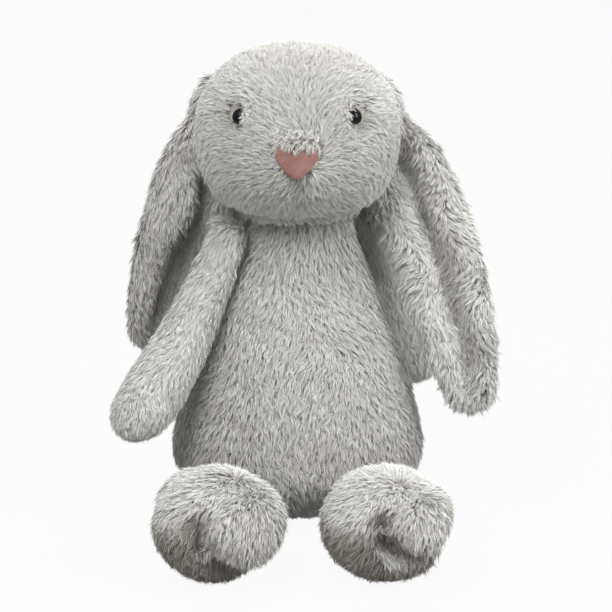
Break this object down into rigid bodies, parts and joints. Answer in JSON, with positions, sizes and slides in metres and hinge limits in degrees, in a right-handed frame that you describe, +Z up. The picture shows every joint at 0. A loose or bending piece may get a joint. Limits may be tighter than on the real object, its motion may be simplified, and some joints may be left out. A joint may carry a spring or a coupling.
{
  "type": "stuffed bunny rabbit",
  "caption": "Seated plush rabbit with a pear-shaped body, round head, long folded lop ears, hanging arms and full feet stretched out in front.",
  "frame": {"origin": "middle of the flat seat, on the surface that the rabbit sits on", "axes": "+Z up, -Y the way the rabbit faces, +X the rabbit's own left"},
  "size_m": [0.2588, 0.2988, 0.319],
  "materials": {
    "plush": "soft clumped pile",
    "ear_lining": "soft pile",
    "fibre": "matte",
    "pellet_bag": "matte",
    "eye_bead": "gloss",
    "eye_washer": "matte",
    "nose": "brushed"
  },
  "bodies": {
    "torso": {"torso_skin": "plush", "torso_stuffing": "fibre", "seat_pellet_bag": "pellet_bag", "tail_skin": "plush", "tail_stuffing": "fibre"},
    "head": {"head_skin": "plush", "head_stuffing": "fibre", "nose": "nose", "eye_left": "eye_bead", "eye_right": "eye_bead", "eye_washer_left": "eye_washer", "eye_washer_right": "eye_washer"},
    "ear_left": {"ear_left_outer": "plush", "ear_left_lining": "ear_lining"},
    "ear_right": {"ear_right_outer": "plush", "ear_right_lining": "ear_lining"},
    "arm_left": {"arm_left_skin": "plush", "arm_left_stuffing": "fibre"},
    "arm_right": {"arm_right_skin": "plush", "arm_right_stuffing": "fibre"},
    "leg_left": {"leg_left_skin": "plush", "leg_left_stuffing": "fibre", "foot_pellet_bag_left": "pellet_bag"},
    "leg_right": {"leg_right_skin": "plush", "leg_right_stuffing": "fibre", "foot_pellet_bag_right": "pellet_bag"}
  },
  "joints": [
    {"name": "neck_turn", "type": "hinge", "parent": "torso", "child": "head", "pos_m": [0, 0, 0.207], "axis": [0, 0, 1], "range_deg": [-10, 6], "stiffness_Nm_per_rad": 0.4},
    {"name": "shoulder_left_swing", "type": "hinge", "parent": "torso", "child": "arm_left", "pos_m": [0.02998, 0.027, 0.183], "axis": [0.6322, 0.6957, 0.341], "range_deg": [-8, 40], "stiffness_Nm_per_rad": 0.15},
    {"name": "shoulder_right_swing", "type": "hinge", "parent": "torso", "child": "arm_right", "pos_m": [-0.03755, -0.01751, 0.183], "axis": [-0.8138, -0.4563, 0.3597], "range_deg": [-10, 65], "stiffness_Nm_per_rad": 0.15},
    {"name": "hip_left_swing", "type": "hinge", "parent": "torso", "child": "leg_left", "pos_m": [0.05064, -0.0789, 0.034], "axis": [1, 0, 0], "range_deg": [-45, 55], "stiffness_Nm_per_rad": 0.25},
    {"name": "hip_right_swing", "type": "hinge", "parent": "torso", "child": "leg_right", "pos_m": [-0.05064, -0.0789, 0.034], "axis": [1, 0, 0], "range_deg": [-45, 55], "stiffness_Nm_per_rad": 0.25},
    {"name": "ear_left_lift", "type": "hinge", "parent": "head", "child": "ear_left", "pos_m": [0.05335, 0.04366, 0.2733], "axis": [0.8063, -0.5915, 0], "range_deg": [0, 70]},
    {"name": "ear_right_lift", "type": "hinge", "parent": "head", "child": "ear_right", "pos_m": [-0.05335, 0.04366, 0.2733], "axis": [0.8063, 0.5915, 0], "range_deg": [0, 70]}
  ]
}
